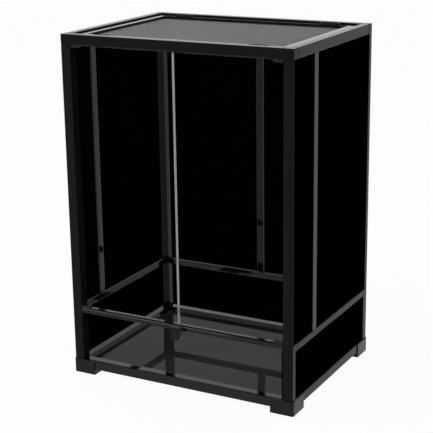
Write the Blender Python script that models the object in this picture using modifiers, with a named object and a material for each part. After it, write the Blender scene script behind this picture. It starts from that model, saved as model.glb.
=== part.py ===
"""A free-standing, front-opening glass terrarium about 0.6 m wide, built as its real pieces.

Black square tubes meet in three-way corner pieces. Glass panes sit in slots of the tubes.
Two clear doors turn on pivots, a cam lock raises a bolt in front of them, and a framed wire
mesh lifts out of the top once its four sliding catches are drawn in.
The front faces -Y, +X is the viewer's right, and the origin lies on the floor under the middle
of the overall box, lock included.
"""

from math import cos, pi, radians, sin

import bmesh
import bpy
from mathutils import Matrix, Vector

# Overall size
WIDTH = 0.600
DEPTH = 0.450
HEIGHT = 0.850

# Fits
GAP = 0.0003
RUNNING_GAP = 0.0008

# Tube sections
TUBE = 0.025
TUBE_WALL = 0.002
SLOT_ZONE = 0.008
TOP_RAIL_HEIGHT = 0.024
BOTTOM_RAIL_HEIGHT = 0.022
BOTTOM_RAIL_LIFT = 0.014
MIDDLE_RAIL_HEIGHT = 0.016
MIDDLE_RAIL_DEPTH = 0.009
LOWER_PANE_HEIGHT = 0.120
MULLION_WIDTH = 0.020
SIDE_MULLION_SETBACK = 0.110
EDGE_ROUNDING = 0.0009

# Strips of each post that its panes leave bare
FRONT_LIP = 0.0017
BACK_STRIP = 0.0135
LOWER_FRONT_STRIP = 0.014
LOWER_BACK_STRIP = 0.020

# Glass
GLASS = 0.004
GLASS_INSET = 0.0017
GLASS_BITE = 0.0042
GLASS_ROUNDING = 0.0004
FLOOR_GLASS = 0.005
FLOOR_RECESS = 0.012
FLOOR_BITE = 0.004

# Corner pieces
SPIGOT_LENGTH = 0.018
FOOT_LEG = 0.060
FOOT_PROUD = 0.0025
FOOT_CORNER_RADIUS = 0.005

# Doors and their pivots
DOOR_GLASS = 0.005
DOOR_INSET = 0.002
DOOR_SIDE_GAP = 0.0015
DOOR_MEETING_GAP = 0.002
PIVOT_FROM_EDGE = 0.0085
SHOE_LENGTH = 0.024
SHOE_WALL = 0.0012
SHOE_REACH = 0.005
PIVOT_RADIUS = 0.00225
PIVOT_LENGTH = 0.005

# Bar between the doors and the lower window
BAR_HEIGHT = 0.0105
BAR_DEPTH = 0.020
BAR_SLANT = 0.0016
BAR_GLASS_BITE = 0.003

# Lock on the bar
LOCK_RISE = 0.0013
LOCK_WIDTH = 0.0285
LOCK_HEIGHT = 0.0313
LOCK_DEPTH = 0.016
LOCK_BOTTOM_RADIUS = 0.009
LOCK_TOP_RADIUS = 0.0015
LOCK_SIDE_WALL = 0.0035
LOCK_STUD_RADIUS = 0.0012
LOCK_STUD_LENGTH = 0.0035
LOCK_STUD_DROP = 0.0044
LOCK_AXIS_DROP = 0.0157
CYLINDER_RADIUS = 0.0052
CYLINDER_PROUD = 0.0006
KEYWAY_WIDTH = 0.0014
KEYWAY_HEIGHT = 0.006
KEYWAY_DEPTH = 0.004
CAM_RADIUS = 0.0083
CAM_THICKNESS = 0.0015
CAM_PIN_RADIUS = 0.0014
CAM_PIN_OFFSET = 0.0064
CAM_REST_ANGLE = radians(-45)
BOLT_WIDTH = 0.019
BOLT_THICKNESS = 0.003
BOLT_FOOT = 0.0037
BOLT_SLOT_SLACK = 0.0005

# Framed mesh in the top
SEAT_SETBACK = 0.018
SCREEN_RECESS = 0.0036
SCREEN_THICKNESS = 0.010
SCREEN_BAND = 0.026
MESH_LAP = 0.006
MESH_THICKNESS = 0.0009
RETAINER_THICKNESS = 0.0017

# Sliding catches of the mesh frame
CATCH_LENGTH = 0.060
CATCH_SETBACK = 0.098
CATCH_PLATE = 0.0012
CATCH_PLATE_DEPTH = 0.0155
CATCH_LIP = 0.0014
CATCH_GRIP_INSET = 0.004
CATCH_GRIP_DEPTH = 0.0085
CATCH_GRIP_RISE = 0.0022
CATCH_TRAVEL = 0.005
CATCH_GROOVES = 3
CATCH_GROOVE_WIDTH = 0.0012
CATCH_GROOVE_DEPTH = 0.0008
CATCH_GROOVE_PITCH = 0.0026

# How far a cutter reaches past the face that it opens
PAST = 0.001

# Levels and half sizes that follow
HALF_WIDTH = WIDTH / 2
HALF_DEPTH = DEPTH / 2
BOTTOM_RAIL_TOP = BOTTOM_RAIL_LIFT + BOTTOM_RAIL_HEIGHT
MIDDLE_RAIL_BOTTOM = BOTTOM_RAIL_TOP + LOWER_PANE_HEIGHT
MIDDLE_RAIL_TOP = MIDDLE_RAIL_BOTTOM + MIDDLE_RAIL_HEIGHT
BAR_BOTTOM = MIDDLE_RAIL_TOP - BAR_HEIGHT
TOP_RAIL_BOTTOM = HEIGHT - TOP_RAIL_HEIGHT
INNER_X = HALF_WIDTH - TUBE
INNER_Y = HALF_DEPTH - TUBE
SIDES = (("left", -1), ("right", 1))
ENDS = (("front", -1), ("back", 1))


def clear_scene():
    for obj in list(bpy.data.objects):
        bpy.data.objects.remove(obj, do_unlink=True)


def make_collection(name):
    collection = bpy.data.collections.new(name)
    bpy.context.scene.collection.children.link(collection)
    return collection


clear_scene()
PARTS = make_collection("glass_terrarium")
CUTTERS = make_collection("cutters")


def make_material(name, colour, roughness, metallic=0.0, transmission=0.0):
    material = bpy.data.materials.new(name)
    material.use_nodes = True
    shader = material.node_tree.nodes["Principled BSDF"]
    shader.inputs["Base Color"].default_value = (*colour, 1)
    shader.inputs["Roughness"].default_value = roughness
    shader.inputs["Metallic"].default_value = metallic
    shader.inputs["Transmission Weight"].default_value = transmission
    return material


BLACK_ALUMINIUM = make_material("black anodised aluminium", (0.022, 0.022, 0.023), 0.28, 1.0)
BLACK_PLASTIC = make_material("black moulded plastic", (0.02, 0.02, 0.021), 0.42)
SMOKED_GLASS = make_material("smoked glass", (0.004, 0.004, 0.004), 0.03)
CLEAR_GLASS = make_material("clear glass", (0.95, 0.97, 0.96), 0.02, transmission=1.0)
FLOOR_FINISH = make_material("dark floor glass", (0.05, 0.05, 0.052), 0.06)
WIRE_FINISH = make_material("dark wire mesh", (0.12, 0.12, 0.125), 0.4, 1.0)
STEEL = make_material("plated steel", (0.35, 0.35, 0.36), 0.3, 1.0)


def link_part(obj, material, origin):
    """Put the object among the parts, with its origin moved to the given point."""
    shift = Vector(origin) - obj.location
    obj.data.transform(Matrix.Translation(-shift))
    obj.location = origin
    obj.data.materials.clear()
    obj.data.materials.append(material)
    PARTS.objects.link(obj)
    return obj


def link_cutter(obj):
    obj.hide_render = True
    obj.display_type = "WIRE"
    CUTTERS.objects.link(obj)
    return obj


def box_object(name, low, high):
    """A closed box between two corners, with its origin at its middle."""
    low, high = (Vector(point) for point in (low, high))
    shape = bmesh.new()
    bmesh.ops.create_cube(shape, size=1)
    bmesh.ops.scale(shape, vec=high - low, verts=shape.verts)
    mesh = bpy.data.meshes.new(name)
    shape.to_mesh(mesh)
    shape.free()
    obj = bpy.data.objects.new(name, mesh)
    obj.location = (low + high) / 2
    return obj


def corners(first, second):
    """The low and the high corner of the box between two opposite corners."""
    pairs = list(zip(first, second))
    return tuple(min(pair) for pair in pairs), tuple(max(pair) for pair in pairs)


def grown(box, amount):
    low, high = box
    return tuple(value - amount for value in low), tuple(value + amount for value in high)


def meets(one, other):
    return all(one[0][i] < other[1][i] and other[0][i] < one[1][i] for i in range(3))


def add_bevel(obj, width, segments=2):
    bevel = obj.modifiers.new("rounded edges", "BEVEL")
    bevel.width = width
    bevel.segments = segments
    bevel.limit_method = "ANGLE"
    bevel.angle_limit = radians(40)
    return bevel


def combine(obj, other, operation="DIFFERENCE"):
    step = obj.modifiers.new(operation.lower(), "BOOLEAN")
    step.operation = operation
    step.object = other
    step.solver = "EXACT"


def box_part(name, box, material, rounding=EDGE_ROUNDING, segments=2, origin=None):
    obj = box_object(name, *box)
    link_part(obj, material, obj.location.copy() if origin is None else origin)
    if rounding:
        add_bevel(obj, rounding, segments)
    return obj


def box_cutter(name, box):
    return link_cutter(box_object(name, *box))


def cylinder_object(name, radius, start, end, segments=24):
    """A closed cylinder from one point to another, with its origin at the first."""
    start, end = Vector(start), Vector(end)
    length = (end - start).length
    shape = bmesh.new()
    bmesh.ops.create_cone(
        shape, cap_ends=True, segments=segments, radius1=radius, radius2=radius, depth=length
    )
    turn = (end - start).to_track_quat("Z", "Y").to_matrix().to_4x4()
    bmesh.ops.transform(
        shape, matrix=turn @ Matrix.Translation((0, 0, length / 2)), verts=shape.verts
    )
    mesh = bpy.data.meshes.new(name)
    shape.to_mesh(mesh)
    shape.free()
    mesh.shade_smooth()
    mesh.set_sharp_from_angle(angle=radians(35))
    obj = bpy.data.objects.new(name, mesh)
    obj.location = start
    return obj


def arc(centre, radius, start, end, steps):
    """Points along an arc, between two angles in degrees."""
    angles = [radians(start + (end - start) * step / steps) for step in range(steps + 1)]
    return [(centre[0] + radius * cos(a), centre[1] + radius * sin(a)) for a in angles]


def outline_object(name, points, thickness):
    """A flat outline in XY made solid upwards from Z = 0, as a mesh."""
    curve = bpy.data.curves.new(name, "CURVE")
    curve.dimensions = "2D"
    curve.fill_mode = "BOTH"
    curve.extrude = thickness / 2
    spline = curve.splines.new("POLY")
    spline.points.add(len(points) - 1)
    for point, (x, y) in zip(spline.points, points):
        point.co = (x, y, 0, 1)
    spline.use_cyclic_u = True
    guide = bpy.data.objects.new(name + "_outline", curve)
    bpy.context.scene.collection.objects.link(guide)
    graph = bpy.context.evaluated_depsgraph_get()
    mesh = bpy.data.meshes.new_from_object(guide.evaluated_get(graph))
    mesh.name = name
    bpy.data.objects.remove(guide, do_unlink=True)
    shape = bmesh.new()
    shape.from_mesh(mesh)
    bmesh.ops.remove_doubles(shape, verts=shape.verts, dist=0.000001)
    bmesh.ops.dissolve_limit(
        shape, angle_limit=radians(1), verts=shape.verts, edges=shape.edges
    )
    bmesh.ops.translate(shape, vec=(0, 0, thickness / 2), verts=shape.verts)
    shape.to_mesh(mesh)
    shape.free()
    return bpy.data.objects.new(name, mesh)


# Panes

def side_pane_box(side, front, back, bottom, top):
    outer = side * (HALF_WIDTH - GLASS_INSET)
    return corners((outer, front, bottom), (outer - side * GLASS, back, top))


def back_pane_box(left, right, bottom, top):
    outer = HALF_DEPTH - GLASS_INSET
    return corners((left, outer - GLASS, bottom), (right, outer, top))


def pane_boxes():
    """Name and box of each fixed wall pane."""
    upper = (MIDDLE_RAIL_TOP - GLASS_BITE, TOP_RAIL_BOTTOM + GLASS_BITE)
    lower = (BOTTOM_RAIL_TOP - GLASS_BITE, MIDDLE_RAIL_BOTTOM + GLASS_BITE)
    mullion_front = SIDE_MULLION_SETBACK - HALF_DEPTH
    mullion_back = mullion_front + MULLION_WIDTH
    boxes = {}
    for name, side in SIDES:
        boxes[f"pane_{name}_upper_front"] = side_pane_box(
            side, FRONT_LIP + GAP - HALF_DEPTH, mullion_front + GLASS_BITE, *upper
        )
        boxes[f"pane_{name}_upper_rear"] = side_pane_box(
            side, mullion_back - GLASS_BITE, HALF_DEPTH - BACK_STRIP - GAP, *upper
        )
        boxes[f"pane_{name}_lower"] = side_pane_box(
            side,
            LOWER_FRONT_STRIP + GAP - HALF_DEPTH,
            HALF_DEPTH - LOWER_BACK_STRIP - GAP,
            *lower,
        )
    reach = HALF_WIDTH - BACK_STRIP - GAP
    inner = MULLION_WIDTH / 2 - GLASS_BITE
    boxes["pane_back_upper_left"] = back_pane_box(-reach, -inner, *upper)
    boxes["pane_back_upper_right"] = back_pane_box(inner, reach, *upper)
    boxes["pane_back_lower"] = back_pane_box(-reach, reach, *lower)
    front = GLASS_INSET - HALF_DEPTH
    boxes["window_front_lower"] = (
        (GAP - INNER_X, front, lower[0]),
        (INNER_X - GAP, front + GLASS, BAR_BOTTOM + BAR_GLASS_BITE),
    )
    return boxes


def floor_box():
    top = BOTTOM_RAIL_TOP - FLOOR_RECESS
    x, y = INNER_X + FLOOR_BITE, INNER_Y + FLOOR_BITE
    return (-x, -y, top - FLOOR_GLASS), (x, y, top)


PANES = pane_boxes()
FLOOR = floor_box()
POCKETS = {
    name: (grown(box, GAP), box_cutter(f"pocket_{name}", grown(box, GAP)))
    for name, box in [*PANES.items(), ("floor", FLOOR)]
}


def cut_pockets(obj, box):
    """Slots for every pane that reaches into this member's box."""
    for pocket, cutter in POCKETS.values():
        if meets(pocket, box):
            combine(obj, cutter)


def make_panes():
    for name, box in PANES.items():
        material = CLEAR_GLASS if name.startswith("window") else SMOKED_GLASS
        box_part(name, box, material, GLASS_ROUNDING, 1)
    box_part("floor_pane", FLOOR, FLOOR_FINISH, GLASS_ROUNDING, 1)


# Posts

def post_box(side, end):
    return corners(
        (side * HALF_WIDTH, end * HALF_DEPTH, BOTTOM_RAIL_TOP + GAP),
        (side * INNER_X, end * INNER_Y, TOP_RAIL_BOTTOM - GAP),
    )


def bore_box(side, end, slack):
    """The square hollow of a post, or with a negative slack the spigot that fits it."""
    near, far = SLOT_ZONE - slack, TUBE - TUBE_WALL + slack
    return corners(
        (side * (HALF_WIDTH - near), end * (HALF_DEPTH - near), 0),
        (side * (HALF_WIDTH - far), end * (HALF_DEPTH - far), HEIGHT),
    )


def rebate_cutters():
    """Open steps in the posts' outer faces, in which the panes lie."""
    depth = GLASS_INSET + GLASS + GAP
    upper = (MIDDLE_RAIL_TOP, TOP_RAIL_BOTTOM)
    lower = (BOTTOM_RAIL_TOP, MIDDLE_RAIL_BOTTOM)
    boxes = []
    for _, side in SIDES:
        x = (side * (HALF_WIDTH - depth), side * (HALF_WIDTH + PAST))
        for (bottom, top), front, back in (
            (upper, FRONT_LIP, BACK_STRIP),
            (lower, LOWER_FRONT_STRIP, LOWER_BACK_STRIP),
        ):
            boxes.append(corners((x[0], front - HALF_DEPTH, bottom), (x[1], HALF_DEPTH - back, top)))
    reach = HALF_WIDTH - BACK_STRIP
    for bottom, top in (upper, lower):
        low = (-reach, HALF_DEPTH - depth, bottom)
        boxes.append((low, (reach, HALF_DEPTH + PAST, top)))
    return [(box, box_cutter(f"rebate_{index}", box)) for index, box in enumerate(boxes)]


def make_posts():
    rebates = rebate_cutters()
    for side_name, side in SIDES:
        for end_name, end in ENDS:
            box = post_box(side, end)
            post = box_part(f"post_{end_name}_{side_name}", box, BLACK_ALUMINIUM)
            combine(post, box_cutter(f"bore_{end_name}_{side_name}", bore_box(side, end, 0)))
            for rebate, cutter in rebates:
                if meets(rebate, box):
                    combine(post, cutter)
            cut_pockets(post, box)


# Rails

def rail_box(name, bottom, top, depth=TUBE):
    """The box of a rail on one of the four sides, between the posts."""
    x, y = INNER_X - GAP, INNER_Y - GAP
    if name in ("front", "back"):
        end = dict(ENDS)[name]
        return corners((-x, end * HALF_DEPTH, bottom), (x, end * (HALF_DEPTH - depth), top))
    side = dict(SIDES)[name]
    return corners((side * HALF_WIDTH, -y, bottom), (side * (HALF_WIDTH - depth), y, top))


def rail_bore_box(name, bottom, top, far, slack, length=None):
    """The hollow that runs along a rail, or with a negative slack a spigot's section."""
    low, high = bottom + TUBE_WALL - slack, top - TUBE_WALL + slack
    near, far = SLOT_ZONE - slack, far + slack
    if name in ("front", "back"):
        end = dict(ENDS)[name]
        reach = HALF_WIDTH if length is None else length
        return corners(
            (-reach, end * (HALF_DEPTH - near), low), (reach, end * (HALF_DEPTH - far), high)
        )
    side = dict(SIDES)[name]
    reach = HALF_DEPTH if length is None else length
    return corners(
        (side * (HALF_WIDTH - near), -reach, low), (side * (HALF_WIDTH - far), reach, high)
    )


SEAT_X = HALF_WIDTH - SEAT_SETBACK - GAP
SEAT_Y = HALF_DEPTH - SEAT_SETBACK - GAP
SCREEN_TOP = HEIGHT - SCREEN_RECESS
SCREEN_BOTTOM = SCREEN_TOP - SCREEN_THICKNESS
TOP_BORE_FAR = SEAT_SETBACK - TUBE_WALL
BOTTOM_BORE_FAR = TUBE - TUBE_WALL
BAR_BORE_FAR = BAR_DEPTH - TUBE_WALL


def seat_box():
    """The step round the top opening on which the mesh frame lies."""
    low = (-SEAT_X - GAP, -SEAT_Y - GAP, SCREEN_BOTTOM - GAP)
    return low, (SEAT_X + GAP, SEAT_Y + GAP, HEIGHT + PAST)


def make_top_rails(seat):
    for name in ("front", "back", "left", "right"):
        box = rail_box(name, TOP_RAIL_BOTTOM, HEIGHT)
        rail = box_part(f"rail_top_{name}", box, BLACK_ALUMINIUM)
        bore = rail_bore_box(name, TOP_RAIL_BOTTOM, HEIGHT, TOP_BORE_FAR, 0)
        combine(rail, box_cutter(f"bore_top_{name}", bore))
        combine(rail, seat)
        cut_pockets(rail, box)
        if name in ("front", "back"):
            cut_catch_slots(rail, dict(ENDS)[name])
        if name == "front":
            cut_pivot_holes(rail, TOP_RAIL_BOTTOM, 1)


def make_bottom_rails():
    for name in ("front", "back", "left", "right"):
        box = rail_box(name, BOTTOM_RAIL_LIFT, BOTTOM_RAIL_TOP)
        rail = box_part(f"rail_bottom_{name}", box, BLACK_ALUMINIUM)
        bore = rail_bore_box(name, BOTTOM_RAIL_LIFT, BOTTOM_RAIL_TOP, BOTTOM_BORE_FAR, 0)
        combine(rail, box_cutter(f"bore_bottom_{name}", bore))
        cut_pockets(rail, box)


def make_middle_rails():
    for name in ("back", "left", "right"):
        box = rail_box(name, MIDDLE_RAIL_BOTTOM, MIDDLE_RAIL_TOP, MIDDLE_RAIL_DEPTH)
        rail = box_part(f"rail_middle_{name}", box, BLACK_ALUMINIUM)
        cut_pockets(rail, box)


def make_door_bar():
    """The slim hollow bar under the doors, its upper front edge cut off at a slant."""
    box = rail_box("front", BAR_BOTTOM, MIDDLE_RAIL_TOP, BAR_DEPTH)
    (left, front, bottom), (right, back, top) = box
    section = [(front, bottom), (back, bottom), (back, top)]
    section += [(front + BAR_SLANT, top), (front, top - BAR_SLANT)]
    bar = outline_object("door_bar", section, right - left)
    along_x = Matrix(((0, 0, 1, left), (1, 0, 0, 0), (0, 1, 0, 0), (0, 0, 0, 1)))
    bar.data.transform(along_x)
    link_part(bar, BLACK_ALUMINIUM, ((left + right) / 2, (front + back) / 2, (bottom + top) / 2))
    add_bevel(bar, GLASS_ROUNDING, 2)
    bore = rail_bore_box("front", BAR_BOTTOM, MIDDLE_RAIL_TOP, BAR_BORE_FAR, 0)
    combine(bar, box_cutter("bore_bar", bore))
    cut_pockets(bar, box)
    cut_pivot_holes(bar, MIDDLE_RAIL_TOP, -1)
    for _, side in SIDES:
        start, end = lock_stud(side)
        hole = cylinder_object("stud_hole", LOCK_STUD_RADIUS + GAP, start, end + Vector((0, GAP, 0)), 12)
        combine(bar, link_cutter(hole))


def make_mullions():
    front = SIDE_MULLION_SETBACK - HALF_DEPTH
    bottom, top = MIDDLE_RAIL_TOP + GAP, TOP_RAIL_BOTTOM - GAP
    boxes = {}
    for name, side in SIDES:
        inner = side * (HALF_WIDTH - MIDDLE_RAIL_DEPTH)
        boxes[name] = corners((side * HALF_WIDTH, front, bottom), (inner, front + MULLION_WIDTH, top))
    half = MULLION_WIDTH / 2
    boxes["back"] = ((-half, HALF_DEPTH - MIDDLE_RAIL_DEPTH, bottom), (half, HALF_DEPTH, top))
    for name, box in boxes.items():
        mullion = box_part(f"mullion_{name}", box, BLACK_ALUMINIUM)
        cut_pockets(mullion, box)


# Corner pieces

def spigot_boxes(side, end, bottom, top, far):
    """The two arms that push into the rails beside a corner."""
    side_name, end_name = (
        next(name for name, value in group if value == wanted)
        for group, wanted in ((SIDES, side), (ENDS, end))
    )
    along_x = rail_bore_box(end_name, bottom, top, far, -GAP)
    along_y = rail_bore_box(side_name, bottom, top, far, -GAP)
    x = (side * (INNER_X - SPIGOT_LENGTH), side * (INNER_X + TUBE / 2))
    y = (end * (INNER_Y - SPIGOT_LENGTH), end * (INNER_Y + TUBE / 2))
    yield corners((x[0], along_x[0][1], along_x[0][2]), (x[1], along_x[1][1], along_x[1][2]))
    yield corners((along_y[0][0], y[0], along_y[0][2]), (along_y[1][0], y[1], along_y[1][2]))


def post_spigot_box(side, end, low, high):
    section = bore_box(side, end, -GAP)
    return (*section[0][:2], low), (*section[1][:2], high)


def add_spigots(corner, name, boxes):
    for index, box in enumerate(boxes):
        arm = box_object(f"{name}_arm_{index}", *box)
        add_bevel(link_cutter(arm), EDGE_ROUNDING, 1)
        combine(corner, arm, "UNION")


def make_top_corners(seat):
    for side_name, side in SIDES:
        for end_name, end in ENDS:
            name = f"corner_top_{end_name}_{side_name}"
            box = corners(
                (side * HALF_WIDTH, end * HALF_DEPTH, TOP_RAIL_BOTTOM),
                (side * INNER_X, end * INNER_Y, HEIGHT),
            )
            corner = box_part(name, box, BLACK_PLASTIC)
            arms = list(spigot_boxes(side, end, TOP_RAIL_BOTTOM, HEIGHT, TOP_BORE_FAR))
            low = TOP_RAIL_BOTTOM - SPIGOT_LENGTH
            arms.append(post_spigot_box(side, end, low, TOP_RAIL_BOTTOM + TUBE_WALL))
            add_spigots(corner, name, arms)
            combine(corner, seat)
            cut_pockets(corner, box)


def foot_outline():
    """An L with a rounded outer corner, for the corner at +X and +Y."""
    outer = TUBE + FOOT_PROUD
    radius = FOOT_CORNER_RADIUS
    points = [(0, -FOOT_LEG), *arc((-radius, -radius), radius, 0, 90, 5), (-FOOT_LEG, 0)]
    points += [(-FOOT_LEG, -outer), (-outer, -outer), (-outer, -FOOT_LEG)]
    return points


def make_feet():
    for side_name, side in SIDES:
        for end_name, end in ENDS:
            name = f"foot_{end_name}_{side_name}"
            points = [(side * x, end * y) for x, y in foot_outline()]
            if side * end < 0:
                points.reverse()
            foot = outline_object(name, points, BOTTOM_RAIL_TOP)
            foot.location = (
                side * (HALF_WIDTH + FOOT_PROUD), end * (HALF_DEPTH + FOOT_PROUD), 0
            )
            link_part(foot, BLACK_PLASTIC, foot.location.copy())
            add_bevel(foot, EDGE_ROUNDING, 2)
            for rail in (side_name, end_name):
                taken = grown(rail_box(rail, BOTTOM_RAIL_LIFT, BOTTOM_RAIL_TOP + PAST), GAP)
                combine(foot, box_cutter(f"{name}_{rail}_seat", taken))
            arms = list(
                spigot_boxes(side, end, BOTTOM_RAIL_LIFT, BOTTOM_RAIL_TOP, BOTTOM_BORE_FAR)
            )
            high = BOTTOM_RAIL_TOP + SPIGOT_LENGTH
            arms.append(post_spigot_box(side, end, BOTTOM_RAIL_TOP - TUBE_WALL, high))
            add_spigots(foot, name, arms)
            reach = corners(
                (side * HALF_WIDTH, end * HALF_DEPTH, 0),
                (side * (INNER_X - SPIGOT_LENGTH), end * (INNER_Y - SPIGOT_LENGTH), high),
            )
            cut_pockets(foot, reach)


# Doors

DOOR_FRONT = DOOR_INSET - HALF_DEPTH
DOOR_MIDDLE = DOOR_FRONT + DOOR_GLASS / 2
DOOR_EDGE_GAP = RUNNING_GAP + SHOE_WALL + GAP
DOOR_BOTTOM = MIDDLE_RAIL_TOP + DOOR_EDGE_GAP
DOOR_TOP = TOP_RAIL_BOTTOM - DOOR_EDGE_GAP
PIVOT_X = INNER_X - DOOR_SIDE_GAP - PIVOT_FROM_EDGE


def pivot_point(side, level):
    return Vector((side * PIVOT_X, DOOR_MIDDLE, level))


def cut_pivot_holes(obj, face, direction):
    """Blind holes for the two door pivots, into a face that looks down or up."""
    depth = PIVOT_LENGTH + GAP
    for name, side in SIDES:
        start = pivot_point(side, face - direction * PAST)
        end = pivot_point(side, face + direction * depth)
        hole = cylinder_object(f"{obj.name}_{name}_hole", PIVOT_RADIUS + GAP, start, end, 16)
        combine(obj, link_cutter(hole))


def make_door(name, side):
    outer = side * (INNER_X - DOOR_SIDE_GAP)
    glass_box = corners(
        (outer, DOOR_FRONT, DOOR_BOTTOM),
        (side * DOOR_MEETING_GAP / 2, DOOR_FRONT + DOOR_GLASS, DOOR_TOP),
    )
    axis_foot = pivot_point(side, DOOR_BOTTOM)
    box_part(f"door_{name}_glass", glass_box, CLEAR_GLASS, GLASS_ROUNDING, 1, axis_foot)
    pocket = box_cutter(f"door_{name}_pocket", grown(glass_box, GAP))
    around = SHOE_WALL + GAP
    for level, edge, direction in (("bottom", DOOR_BOTTOM, -1), ("top", DOOR_TOP, 1)):
        shoe_name = f"door_{name}_pivot_{level}"
        web = edge + direction * around
        shoe_box = corners(
            (outer, DOOR_FRONT - around, web),
            (
                outer - side * SHOE_LENGTH,
                DOOR_FRONT + DOOR_GLASS + around,
                edge - direction * SHOE_REACH,
            ),
        )
        shoe = box_part(shoe_name, shoe_box, BLACK_PLASTIC, GLASS_ROUNDING, 1, axis_foot)
        combine(shoe, pocket)
        pin = cylinder_object(
            shoe_name + "_pin",
            PIVOT_RADIUS,
            pivot_point(side, edge + direction * (GAP + SHOE_WALL / 2)),
            pivot_point(side, web + direction * (RUNNING_GAP + PIVOT_LENGTH)),
            16,
        )
        combine(shoe, link_cutter(pin), "UNION")


# Lock

LOCK_TOP = MIDDLE_RAIL_TOP + LOCK_RISE
LOCK_BACK = -HALF_DEPTH - GAP
LOCK_FRONT = LOCK_BACK - LOCK_DEPTH
LOCK_AXIS_Z = LOCK_TOP - LOCK_AXIS_DROP
BOLT_BACK = LOCK_BACK - GAP
BOLT_FRONT = BOLT_BACK - BOLT_THICKNESS
CAM_BACK = BOLT_FRONT - GAP
CAM_FRONT = CAM_BACK - CAM_THICKNESS
BOLT_SLOT_Z = LOCK_AXIS_Z + CAM_PIN_OFFSET * sin(CAM_REST_ANGLE)
BOLT_BOTTOM = BOLT_SLOT_Z - BOLT_FOOT
CAVITY_BOTTOM = min(BOLT_BOTTOM, LOCK_AXIS_Z - CAM_RADIUS) - GAP


def lock_stud(side):
    """Both ends of one of the studs that hold the lock on the bar."""
    x = side * (LOCK_WIDTH - LOCK_SIDE_WALL) / 2
    z = MIDDLE_RAIL_TOP - LOCK_STUD_DROP
    start = Vector((x, LOCK_BACK - LOCK_SIDE_WALL, z))
    return start, Vector((x, LOCK_BACK + GAP + LOCK_STUD_LENGTH, z))


def lock_outline():
    """The lock's face, seen along Y, with a rounded foot."""
    half, low, top = LOCK_WIDTH / 2, LOCK_TOP - LOCK_HEIGHT, LOCK_TOP
    foot, head = LOCK_BOTTOM_RADIUS, LOCK_TOP_RADIUS
    points = arc((half - foot, low + foot), foot, -90, 0, 6)
    points += arc((half - head, top - head), head, 0, 90, 2)
    points += arc((head - half, top - head), head, 90, 180, 2)
    points += arc((foot - half, low + foot), foot, 180, 270, 6)
    return points


def make_lock_housing():
    housing = outline_object("lock_housing", lock_outline(), LOCK_DEPTH)
    stand_up = Matrix.Rotation(radians(90), 4, "X")
    housing.data.transform(stand_up)
    housing.location = (0, LOCK_BACK, 0)
    link_part(housing, BLACK_PLASTIC, (0, LOCK_BACK, LOCK_AXIS_Z))
    add_bevel(housing, GLASS_ROUNDING, 2)
    inner = LOCK_WIDTH / 2 - LOCK_SIDE_WALL
    cavity = ((-inner, CAM_FRONT - GAP, CAVITY_BOTTOM), (inner, LOCK_BACK + PAST, LOCK_TOP + PAST))
    combine(housing, box_cutter("lock_cavity", cavity))
    bore = cylinder_object(
        "lock_bore",
        CYLINDER_RADIUS + GAP,
        (0, LOCK_FRONT - PAST, LOCK_AXIS_Z),
        (0, CAM_FRONT, LOCK_AXIS_Z),
        24,
    )
    combine(housing, link_cutter(bore))
    for name, side in SIDES:
        start, end = lock_stud(side)
        stud = cylinder_object(f"lock_stud_{name}", LOCK_STUD_RADIUS, start, end, 12)
        combine(housing, link_cutter(stud), "UNION")


def make_lock_cylinder():
    """The key barrel with its cam disc and the pin that drives the bolt."""
    front = LOCK_FRONT - CYLINDER_PROUD
    axis = (0, front, LOCK_AXIS_Z)
    barrel = cylinder_object(
        "lock_cylinder", CYLINDER_RADIUS, axis, (0, CAM_BACK - CAM_THICKNESS / 2, LOCK_AXIS_Z), 24
    )
    link_part(barrel, STEEL, axis)
    disc = cylinder_object(
        "cam_disc", CAM_RADIUS, (0, CAM_FRONT, LOCK_AXIS_Z), (0, CAM_BACK, LOCK_AXIS_Z), 24
    )
    combine(barrel, link_cutter(disc), "UNION")
    x = CAM_PIN_OFFSET * cos(CAM_REST_ANGLE)
    pin = cylinder_object(
        "cam_pin",
        CAM_PIN_RADIUS,
        (x, CAM_BACK - CAM_THICKNESS / 2, BOLT_SLOT_Z),
        (x, BOLT_BACK - GAP, BOLT_SLOT_Z),
        12,
    )
    combine(barrel, link_cutter(pin), "UNION")
    keyway = (
        (-KEYWAY_WIDTH / 2, front - PAST, LOCK_AXIS_Z - KEYWAY_HEIGHT / 2),
        (KEYWAY_WIDTH / 2, front + KEYWAY_DEPTH, LOCK_AXIS_Z + KEYWAY_HEIGHT / 2),
    )
    combine(barrel, box_cutter("keyway", keyway))


def make_lock_bolt():
    """The flat bolt whose cross slot the cam pin lifts."""
    low = (-BOLT_WIDTH / 2, BOLT_FRONT, BOLT_BOTTOM)
    box = (low, (BOLT_WIDTH / 2, BOLT_BACK, LOCK_TOP - GAP))
    bolt = box_part("lock_bolt", box, STEEL, GLASS_ROUNDING, 1)
    reach = CAM_PIN_RADIUS + BOLT_SLOT_SLACK
    slot = (
        (CAM_PIN_OFFSET * cos(CAM_REST_ANGLE) - reach, BOLT_FRONT - PAST, BOLT_SLOT_Z - reach),
        (CAM_PIN_OFFSET + reach, BOLT_BACK + PAST, BOLT_SLOT_Z + reach),
    )
    combine(bolt, box_cutter("bolt_slot", slot))


# Framed mesh

FRAME_INNER_X = SEAT_X - SCREEN_BAND
FRAME_INNER_Y = SEAT_Y - SCREEN_BAND
RETAINER_TOP = SCREEN_BOTTOM + RETAINER_THICKNESS
MESH_BOTTOM = RETAINER_TOP + GAP
MESH_TOP = MESH_BOTTOM + MESH_THICKNESS


def centred_box(x, y, low, high):
    return (-x, -y, low), (x, y, high)


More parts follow.
